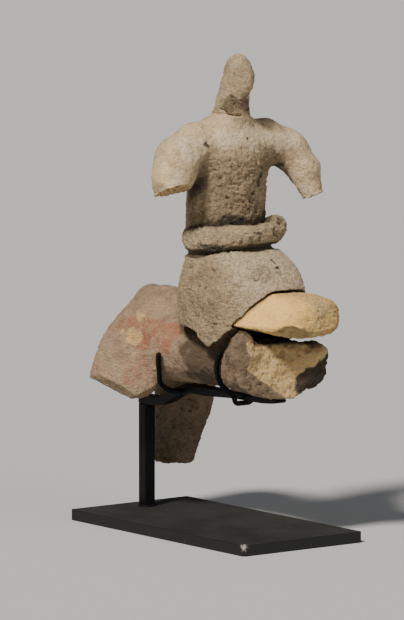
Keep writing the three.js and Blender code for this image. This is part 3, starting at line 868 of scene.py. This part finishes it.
def post_welds():
    """Beads round the post's foot, and one in front, where the bar lies on its top."""
    low, high = POST_LOW, POST_HIGH
    for k, (x_a, y_a, x_b, y_b) in enumerate((
        (low[0], low[1], high[0], low[1]), (low[0], high[1], high[0], high[1]),
        (low[0], low[1], low[0], high[1]), (high[0], low[1], high[0], high[1]),
    )):
        weld(f"foot_weld_{k}", (x_a, y_a, low[2] + 0.2), (x_b, y_b, low[2] + 0.2), FOOT_WELD)
    y, z = low[1] - 0.1, high[2] - 0.1
    weld("seat_weld", (low[0] + 0.3, y, z), (high[0] - 0.3, y, z), SEAT_WELD)


# ---- node sums


class Amount:
    """A socket that takes part in sums, so that a finish reads as a formula."""

    def __init__(self, finish, socket):
        self.finish = finish
        self.socket = socket

    def math(self, operation, first, second):
        """One Math node on two amounts or numbers."""
        return self.finish.node("ShaderNodeMath", {"operation": operation}, {0: first, 1: second})

    def __add__(self, other):
        return self.math("ADD", self, other)

    def __radd__(self, other):
        return self.math("ADD", other, self)

    def __sub__(self, other):
        return self.math("SUBTRACT", self, other)

    def __rsub__(self, other):
        return self.math("SUBTRACT", other, self)

    def __mul__(self, other):
        return self.math("MULTIPLY", self, other)

    def __rmul__(self, other):
        return self.math("MULTIPLY", other, self)

    def __truediv__(self, other):
        return self.math("DIVIDE", self, other)

    def __rtruediv__(self, other):
        return self.math("DIVIDE", other, self)

    def between(self, low, high):
        """0 below low, 1 above high, and a smooth rise from one to the other."""
        return self.finish.node(
            "ShaderNodeMapRange", {"interpolation_type": "SMOOTHSTEP"}, {0: self, 1: low, 2: high}
        )


class Finish:
    """A material being built."""

    def __init__(self, name):
        self.material = bpy.data.materials.new(name)
        self.material.use_nodes = True
        self.tree = self.material.node_tree
        self.shader = self.tree.nodes["Principled BSDF"]
        self.place = self.node("ShaderNodeTexCoord", output="Object")

    def node(self, kind, choices=None, values=None, output=0):
        """Any node: its kind, its settings, which are set first, and what its sockets take."""
        made = self.tree.nodes.new(kind)
        for key, value in (choices or {}).items():
            setattr(made, key, value)
        for key, value in (values or {}).items():
            self.feed(made.inputs[key], value)
        return Amount(self, made.outputs[output])

    def feed(self, socket, value):
        """Link an amount to a socket, or set a plain value on it."""
        if isinstance(value, Amount):
            self.tree.links.new(value.socket, socket)
        else:
            socket.default_value = value

    def noise(self, millimetres, detail=3, roughness=0.6, place=None):
        """Noise whose blotches measure about so many millimetres."""
        values = {"Vector": place or self.place, "Scale": 1 / (millimetres * MM), "Detail": detail}
        values["Roughness"] = roughness
        return self.node("ShaderNodeTexNoise", {}, values)

    def mark(self, name):
        """One of the marks stored on the mesh."""
        return self.node("ShaderNodeAttribute", {"attribute_name": name}, output="Fac")

    def blend(self, mask, a, b):
        """Colour a where mask is 0 and colour b where it is 1."""
        a, b = (one if isinstance(one, Amount) else (*one, 1) for one in (a, b))
        return self.node("ShaderNodeMix", {"data_type": "RGBA"}, {0: mask, 6: a, 7: b}, output=2)

    def bump(self, height):
        """Relief whose height is in millimetres."""
        return self.node("ShaderNodeBump", {}, {"Height": height, "Distance": MM, "Strength": 1.0})

    def wear(self, **sockets):
        """Put amounts and plain values on the shader's own sockets."""
        for name, value in sockets.items():
            self.feed(self.shader.inputs[name.replace("_", " ")], value)
        return self.material


def terracotta():
    """Fired clay with weathering, breaks, remains of colour and painted shade."""
    made = bpy.data.materials.get("fired_clay")
    if made:
        return made
    look = settings("clay")
    finish = Finish("fired_clay")
    cloud = finish.noise(17, 3)
    blotch = finish.noise(5, 4, 0.65)
    fine = finish.noise(1.5, 4, 0.7)
    grit = finish.noise(0.6, 2)
    tilted = finish.node(
        "ShaderNodeMapping", {}, {"Vector": finish.place, "Rotation": (0, 0.45, 0), "Scale": (1, 1, 2.3)}
    )
    wrinkle = finish.noise(2.4, 5, 0.75, tilted)
    ragged = (blotch - 0.5) * 0.8 + (fine - 0.5) * 1.1
    grainy = (fine * 0.4 + wrinkle * 0.3 + grit * 0.3).between(0.41, 0.59)
    speck = (fine * 0.5 + grit * 0.5).between(0.57, 0.63)
    broken, worn, hollow, ochre = (finish.mark(name) for name in ("broken", "worn", "hollow", "ochre"))
    rose, slip, paint = (finish.mark(name) for name in ("rose", "slip", "paint"))
    earth_and_shade, soot_and_shade = (finish.mark(name) for name in ("earth_and_shade", "soot_and_shade"))
    body = finish.blend((cloud + ragged * 0.8).between(0.38, 0.7), look.buff, look.grey)
    body = finish.blend((rose + ragged).between(0.1, 1.1), body, look.rose)
    body = finish.blend((slip + ragged).between(0.3, 0.9), body, look.slip)
    body = finish.blend((ochre + ragged * 0.8).between(0.3, 0.8), body, look.ochre)
    body = finish.blend((paint + ragged * 2.2).between(0.2, 1.6) * 0.95, body, look.paint)
    crust = (fine + blotch * 0.5 + ochre * 0.4).between(0.5, 0.9)
    crumbs = (wrinkle * 0.7 + grit * 0.3).between(0.36, 0.6) * 0.65
    core = finish.blend(crust, look.core, finish.blend(crumbs, look.ochre, look.slip))
    body = finish.blend((broken + ragged * 0.5).between(0.45, 0.7), body, core)
    clean = (1 - ochre * 0.6) * (1 - broken * 0.4)
    body = finish.blend((1 - grainy) * (0.44 + worn * 0.3) * clean, body, look.dirt)
    body = finish.blend(speck * (0.4 + worn * 0.25) * clean, body, look.dirt)
    hollow = hollow * (1 - broken * 0.4)
    body = finish.blend((hollow + ragged * 0.5).between(0.25, 1.0) * 0.85, body, look.dirt)
    body = finish.blend((hollow + ragged * 0.3).between(0.6, 1.1) * 0.6, body, look.earth_and_shade)
    # This mark is partly soil stains and partly painted shade.
    body = finish.blend((earth_and_shade + ragged * 0.3).between(0.1, 0.9) * 0.8, body, look.earth_and_shade)
    body = finish.blend((soot_and_shade + ragged * 1.2).between(0.4, 0.95) * 0.92, body, look.soot_and_shade)
    height = wrinkle * (worn * 2.6 + 0.5) + fine * (worn * 1.2 + broken * 1.8 + 1.2)
    height = height + grit * (worn * 0.7 + broken * 0.7 + 0.45)
    return finish.wear(
        Base_Color=body, Roughness=0.96 - soot_and_shade * 0.3, Normal=finish.bump(height), Specular_IOR_Level=0.3
    )


def black_steel():
    """Satin black steel, a little uneven from the brush."""
    made = bpy.data.materials.get("satin_black")
    if made:
        return made
    look = settings("steel")
    finish = Finish("satin_black")
    patchy = finish.noise(9, 3)
    fine = finish.noise(1.2, 3)
    return finish.wear(
        Base_Color=finish.blend(fine.between(0.55, 0.8) * 0.35, look.black, look.dust),
        Roughness=0.3 + patchy * 0.2, Normal=finish.bump(fine * 0.05), Specular_IOR_Level=0.12,
    )


def dusty_steel(knocked):
    """The plate's finish: black under brown dust, bare spots at the knocked corner."""
    look = settings("steel")
    finish = Finish("dusty_steel")
    cloud = finish.noise(26, 4)
    fine = finish.noise(1.4, 4, 0.7)
    speck = finish.noise(2.2, 2).between(0.71, 0.76)
    normal = finish.node("ShaderNodeNewGeometry", output="Normal")
    top = finish.node("ShaderNodeSeparateXYZ", {}, {0: normal}, output=2).between(0.5, 0.95)
    body = finish.blend(top * (cloud * 0.7 + fine * 0.5).between(0.3, 0.8), look.black, look.dust)
    body = finish.blend(speck * 0.1, body, look.bare)
    away = finish.node(
        "ShaderNodeVectorMath", {"operation": "DISTANCE"}, {0: finish.place, 1: tuple(knocked * MM)}, "Value"
    )
    chipped = 1 - (away / MM + (fine - 0.5) * 9).between(1.6, 3.2)
    body = finish.blend(chipped * 0.8, body, look.bare)
    return finish.wear(
        Base_Color=body, Roughness=0.45 + top * 0.25, Normal=finish.bump(fine * 0.1), Specular_IOR_Level=0.4
    )


# ---- where the clay is marked


def on_break(points, one, width=1.0, full=1.2):
    """1 on the face of a break, and fading to 0 over about a width under it."""
    return np.clip(full + face(points, *one) / width, 0, 1)


def rider_marks(points, out):
    """Worn torso, broken arm ends, pale shoulders, black stains, the crack round the neck, and painted shade
    under the chin, in the far armpit and under the near arm.
    """
    x, y, z = points.T
    shade = np.clip((206 - z) / 14, 0, 1) * np.clip((30 - np.abs(x)) / 6, 0, 1)
    shade *= np.clip((-4 - y) / 6, 0.4, 1)
    # Under the chin the clay is worn, and the dark soil there is painted shade.
    under_chin = patch(points, (1, -22, 225.5), (10, 9, 6), 3, 0.8)
    temple = patch(points, (-7, -16, 236), (4, 8, 9), 29, 0.6)
    broken = np.maximum(
        on_break(points, RIGHT_ARM_BREAK, 0.9) * (x < -30), on_break(points, LEFT_ARM_BREAK, 0.9) * (x > 36)
    )
    pale = patches(points, [
        ((42, -20, 188), (11, 10, 18)), ((-42, -22, 187), (8, 10, 7)), ((2, -28, 208), (22, 12, 7)),
        ((-30, -22, 202), (7, 9, 7)), ((30, -20, 205), (10, 10, 7)),
    ], 5, 0.8) * 0.8
    ochre = patches(points, [((-47, -15, 193), (3, 8, 8)), ((-48, -20, 186), (4, 6, 3))], 11, 0.6) * 0.4
    # Most of these are black stains; those in the far armpit and on the torso's left side under the near arm
    # are painted shade.
    soot_and_shade = patches(points, [
        ((-22.1, -22.8, 204.9), 1.4), ((2.3, -25.3, 206.8), 1.0), ((10.6, -24.1, 184.1), (1.5, 2, 2.6)),
        ((12, -23.9, 187.3), (1.3, 2, 1.8)), ((3.7, -24.4, 173.6), 1.1), ((-5.5, -24, 164.6), (10.5, 3, 2.9)),
        ((28, -18, 191), (2.2, 4, 2.2)), ((6, -25, 178), (2.5, 2, 1.5)), ((-23, -14, 182), (2.2, 5, 2)),
    ], 15, 0.8)
    mottle = patches(points, [
        ((37, -24, 201), 2.4), ((40.5, -26.5, 195.5), 2.2), ((43.4, -26, 189.5), (1.8, 3, 3.4)),
    ], 41, 0.7)
    away, angle = roll(points, (-0.2, -14.4, 220), 9.2, 9.2, 0, 1)
    level = through(NECK_CRACK, np.degrees(angle))[:, 0] + 0.3 * noise(points, 2, 51)
    line = np.clip(1.6 - np.abs(z - level) / 0.42, 0, 1) * (around(angle, -135, 42) > 0) * (away < 6)
    return {
        "worn": np.maximum(np.maximum(shade, 0.8 * under_chin), 0.4 * (z > 220)), "broken": broken,
        "slip": pale * 0.9, "ochre": ochre, "soot_and_shade": np.maximum(0.85 * soot_and_shade, 0.55 * mottle),
        "hollow": line, "dug": 1.3 * line, "earth_and_shade": np.maximum(0.6 * under_chin, 0.3 * temple),
    }


def belt_marks(points, out):
    """Worn all over, most at the thick end, with black smears along its lower side."""
    soot_and_shade = patches(points, [
        ((-24, -21, 152.6), (4, 4, 2)), ((-19, -25, 152), (4, 3, 2)), ((-7, -29, 154.5), (3, 3, 1.6)),
        ((4, -30.5, 158.5), (3, 3, 1.2)), ((14, -29, 158), (3, 3, 1.5)), ((21, -27, 163), (2, 3, 1.5)),
    ], 3, 0.9)
    rough_end = patch(points, (21, -27, 160), (8, 8, 7), 7)
    return {"worn": 0.65 + 0.35 * rough_end, "soot_and_shade": 0.75 * soot_and_shade, "slip": np.full(len(points), 0.5)}


def skirt_marks(points, out):
    """Pale in front and worn on the right, with a few black and red spots."""
    soot_and_shade = patches(points, [
        ((6.6, -41, 144), (1, 3, 2.4)), ((6, -45.1, 141.7), (2.2, 2, 0.9)),
        ((-28, -36.9, 114), (0.8, 2, 0.7)),
    ], 5, 0.5)
    paint = patches(points, [((-27.9, -39, 125.5), 2.2), ((-26.4, -43.8, 122.3), 2.4)], 9) * 0.55
    speckled = patch(points, (-5.3, -45.6, 139), (9, 8, 4), 13)
    right = np.clip((-14 - points[:, 0]) / 14, 0, 1)
    return {
        "worn": 0.55 + 0.3 * right + 0.5 * speckled, "soot_and_shade": soot_and_shade, "paint": paint, "slip": 0.95 - 0.8 * right
    }


def neck_root_marks(points, out):
    """Yellow clay, smooth on the right, paler and worn in front, broken underneath."""
    x, y, z = points.T
    smooth = np.clip((4 - x) / 10 + 0.4 * noise(points, 5, 83), 0, 1) * np.clip((z - 113) / 2, 0.3, 1)
    # The dent under the slab is broken clay, and its hollow mark also darkens it as painted shade.
    under = np.clip(1.3 - lump(points, *NECK_DENT), 0, 1)
    end = np.clip((-75 - y) / 3, 0, 1)
    return {
        "ochre": 0.65 + 0.35 * smooth, "paint": 0.3 * patch(points, (-11, -62, 120), (6, 8, 4), 85),
        "worn": 0.75 * (1 - smooth), "slip": (1 - smooth) * (1 - under),
        "broken": np.maximum(under, 0.15 * end), "hollow": 0.5 * under,
    }


def horse_marks(points, out):
    """Brownish pink, red on the rump, yellow and black on the chest's break, and painted shade under the
    skirt, on the far leg and on the flank by the chest.
    """
    x, y, z = points.T
    fray = noise(points, 4, 77)
    front = on_break(points, CHEST_BREAK, 1.1, 1.3) * (out[:, 1] < -0.2)
    for dent in CHEST_DENTS:
        front = np.maximum(front, np.clip(1.6 - lump(points, *dent), 0, 1))
    front *= y < -50
    low_rim = (z - 79.4 + 0.8 * (x + 5.6)) / 1.5
    front *= np.clip((x + 20.5) / 1.5 + fray, 0, 1) * np.clip(low_rim + fray, 0, 1)
    corner = on_break(points, CORNER_BREAK, 1.5) * (y < -45)
    legs = np.maximum(
        on_break(points, RIGHT_LEG_BREAK) * (x < -8) * (y > 15),
        on_break(points, LEFT_LEG_BREAK, 1.5) * (x > 5) * (y > 30),
    )
    legs = np.where(x < 0, 0.4 * legs, legs)
    pale = patch(points, (-24, 38, 103), (7, 5, 10), 19, 0.9) * 0.55
    paint = patches(points, [
        ((-22, 36, 104), (14, 19, 9)), ((-19, 14, 101), (9, 9, 8)), ((-28, 32, 84), (8, 7, 8)),
        ((-31, 60, 84), (7, 7, 5)),
    ], 3, 0.7)
    paint *= (1 - 0.8 * pale) * np.where(z < 94, 0.6, 1)
    soot_and_shade = 0.6 * patches(points, [((-25.5, -45, 95.4), (4, 4, 5)), ((-26, 24, 83), (3, 4, 4))], 23, 0.5)
    # The chest's far side is black: partly its own black surface, partly painted shade.
    below = 85.4 + 0.62 * (x - 7.1) - z
    dark_side = np.clip(below / 2 + 0.5 + 0.5 * fray, 0, 1) * np.clip((x - 5) / 4, 0, 1) * (y < -40)
    dark_side *= np.clip((z - 76) / 3, 0, 1)
    ochre = np.maximum(front, corner) * (1 - dark_side) * np.clip(0.6 + (z - 78) / 20, 0.6, 1)
    # The far leg stands behind, in shade: its dark soil is painted shade.
    far_leg = np.clip((x - 2) / 8, 0, 1) * np.clip((80 - z) / 10, 0, 1)
    crest = patch(points, (-8, 50, 118), (22, 17, 9), 67, 0.7)
    # The flank by the chest is darkened as painted shade.
    flank = np.clip((-34 - y) / 6, 0, 1) * (1 - front)
    # Painted shadow of the skirt on the barrel below it.
    skirt_shadow = np.clip((10 - y) / 13 + 0.4 * fray, 0, 1) * np.clip((y + 40) / 6, 0, 1)
    skirt_shadow *= np.clip((106 - z) / 6, 0, 1)
    stains = 0.16 + 0.3 * noise(points, 8, 71)
    earth_and_shade = (0.5 * far_leg, 0.9 * skirt_shadow, (0.5 + 0.22 * fray) * flank, 0.35 * crest, stains)
    return {
        "broken": np.maximum(np.maximum(front, corner), legs), "worn": 0.3 + 0.5 * far_leg + 0.5 * flank,
        "paint": paint, "ochre": np.maximum(ochre, pale), "soot_and_shade": np.maximum(soot_and_shade * (1 - front), dark_side),
        "rose": np.clip(0.85 - 0.5 * far_leg, 0, 1) * (1 - front), "earth_and_shade": np.max(earth_and_shade, axis=0),
    }


# ---- operators


class PieceOperator:
    """What the operators share."""

    bl_options = {"REGISTER", "UNDO"}


class BuildRider(PieceOperator, bpy.types.Operator):
    """Torso, arm stumps and head, modelled in one"""

    bl_idname = "terracotta.rider"
    bl_label = "Rider"

    def execute(self, context):
        clay_piece("rider", rider, rider_marks)
        return {"FINISHED"}


class BuildBelt(PieceOperator, bpy.types.Operator):
    """Thick roll of clay laid round the waist"""

    bl_idname = "terracotta.belt"
    bl_label = "Belt"

    def execute(self, context):
        clay_piece("belt", belt, belt_marks)
        return {"FINISHED"}


class BuildSkirt(PieceOperator, bpy.types.Operator):
    """Bell-shaped skirt spread over the horse's back"""

    bl_idname = "terracotta.skirt"
    bl_label = "Skirt"

    def execute(self, context):
        clay_piece("skirt", skirt, skirt_marks)
        return {"FINISHED"}


class BuildHorse(PieceOperator, bpy.types.Operator):
    """Horse: rump, barrel, leg stumps, broken chest and the root of the neck"""

    bl_idname = "terracotta.horse"
    bl_label = "Horse"

    def execute(self, context):
        clay_piece("horse", horse, horse_marks)
        clay_piece("neck_root", neck_root, neck_root_marks)
        return {"FINISHED"}


class BuildMount(PieceOperator, bpy.types.Operator):
    """Steel mount: plate, post, cradle bar and wire prongs"""

    bl_idname = "terracotta.mount"
    bl_label = "Mount"

    def execute(self, context):
        edge = settings("steel").edge / MM
        corner = np.array((PLATE_LOW[0], PLATE_LOW[1], PLATE_HIGH[2]))
        knocks = [(corner + place, direction) for place, direction in PLATE_KNOCKS]
        box_piece("plate", PLATE_LOW, PLATE_HIGH, edge * 0.7, dusty_steel(corner), "base_plate", knocks)
        box_piece("post_rod", POST_LOW, POST_HIGH, edge, black_steel(), "post")
        bar_piece(edge)
        right, left = hug_line(FRONT_PRONG, -1), hug_line(FRONT_PRONG, 1)
        wire("front_wire", np.concatenate((right[::-1], left[1:])), FRONT_PRONG, "front_prong")
        rear_wire("right", -1)
        rear_wire("left", 1)
        post_welds()
        return {"FINISHED"}


def lamp(name, place, softness, strength, tint):
    """Far soft light that shines from a place towards the middle."""
    light = bpy.data.lights.new(name, "SUN")
    light.angle = math.radians(softness)
    light.energy = strength
    light.color = tint
    made = bpy.data.objects.new(name, light)
    made.location = place
    made.rotation_euler = place.to_track_quat("Z", "Y").to_euler()
    bpy.context.scene.collection.objects.link(made)


class BuildStage(PieceOperator, bpy.types.Operator):
    """Pale floor, soft studio light and the camera"""

    bl_idname = "terracotta.stage"
    bl_label = "Stage"

    def execute(self, context):
        look = settings("stage")
        finish = Finish("pale_floor")
        material = finish.wear(Base_Color=(*look.floor, 1), Roughness=0.8)
        mesh = bpy.data.meshes.new("floor")
        shape = bmesh.new()
        bmesh.ops.create_circle(shape, cap_ends=True, segments=96, radius=FLOOR_RADIUS)
        shape.to_mesh(mesh)
        shape.free()
        mesh.materials.append(material)
        floor = bpy.data.objects.new("floor", mesh)
        context.scene.collection.objects.link(floor)

        turn, rise = CAMERA_TURN, CAMERA_RISE
        right = Vector((math.cos(turn), math.sin(turn), 0))
        back = Vector((math.sin(turn) * math.cos(rise), -math.cos(turn) * math.cos(rise), math.sin(rise)))
        facing = Matrix((right, back.cross(right), back)).transposed().to_4x4()
        data = bpy.data.cameras.new("camera")
        data.lens = look.lens
        camera = bpy.data.objects.new("camera", data)
        camera.matrix_world = Matrix.Translation(Vector(CAMERA_TARGET) * MM + back * look.distance) @ facing
        context.scene.collection.objects.link(camera)
        context.scene.camera = camera

        flat = Vector((back.x, back.y, 0)).normalized()
        for name, across, towards, height, softness, strength, tint in LAMPS:
            place = right * across + flat * towards + Vector((0, 0, height))
            lamp(name, place, softness, strength, tint)
        world = bpy.data.worlds.new("studio")
        world.use_nodes = True
        sky = world.node_tree.nodes["Background"].inputs
        sky["Color"].default_value, sky["Strength"].default_value = SKY, SKY_STRENGTH
        context.scene.world = world
        return {"FINISHED"}


OPERATORS = (BuildStage, BuildMount, BuildHorse, BuildSkirt, BuildBelt, BuildRider)
GROUPS = {"clay": ClaySettings, "steel": SteelSettings, "stage": StageSettings}


class TerracottaPanel(bpy.types.Panel):
    """Lists the pieces and the sizes and colours they are made with"""

    bl_idname = "VIEW3D_PT_terracotta"
    bl_label = "Terracotta horse and rider"
    bl_space_type = "VIEW_3D"
    bl_region_type = "UI"
    bl_category = "Terracotta"

    def draw(self, context):
        for one in OPERATORS:
            self.layout.operator(one.bl_idname)
        for name in GROUPS:
            box = self.layout.box()
            group = getattr(context.scene, name)
            for key in group.bl_rna.properties.keys():
                if key not in ("rna_type", "name"):
                    box.prop(group, key)


def register():
    """Make the settings, the operators and the panel known to Blender."""
    for one in (*GROUPS.values(), *OPERATORS, TerracottaPanel):
        bpy.utils.register_class(one)
    for name, group in GROUPS.items():
        setattr(bpy.types.Scene, name, PointerProperty(type=group))


def unregister():
    """Take them away again."""
    for name in GROUPS:
        delattr(bpy.types.Scene, name)
    for one in reversed((*GROUPS.values(), *OPERATORS, TerracottaPanel)):
        bpy.utils.unregister_class(one)


def main():
    """Build every piece in order."""
    register()
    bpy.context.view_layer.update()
    for one in OPERATORS:
        folder, name = one.bl_idname.split(".")
        getattr(getattr(bpy.ops, folder), name)()


if __name__ == "__main__":
    main()
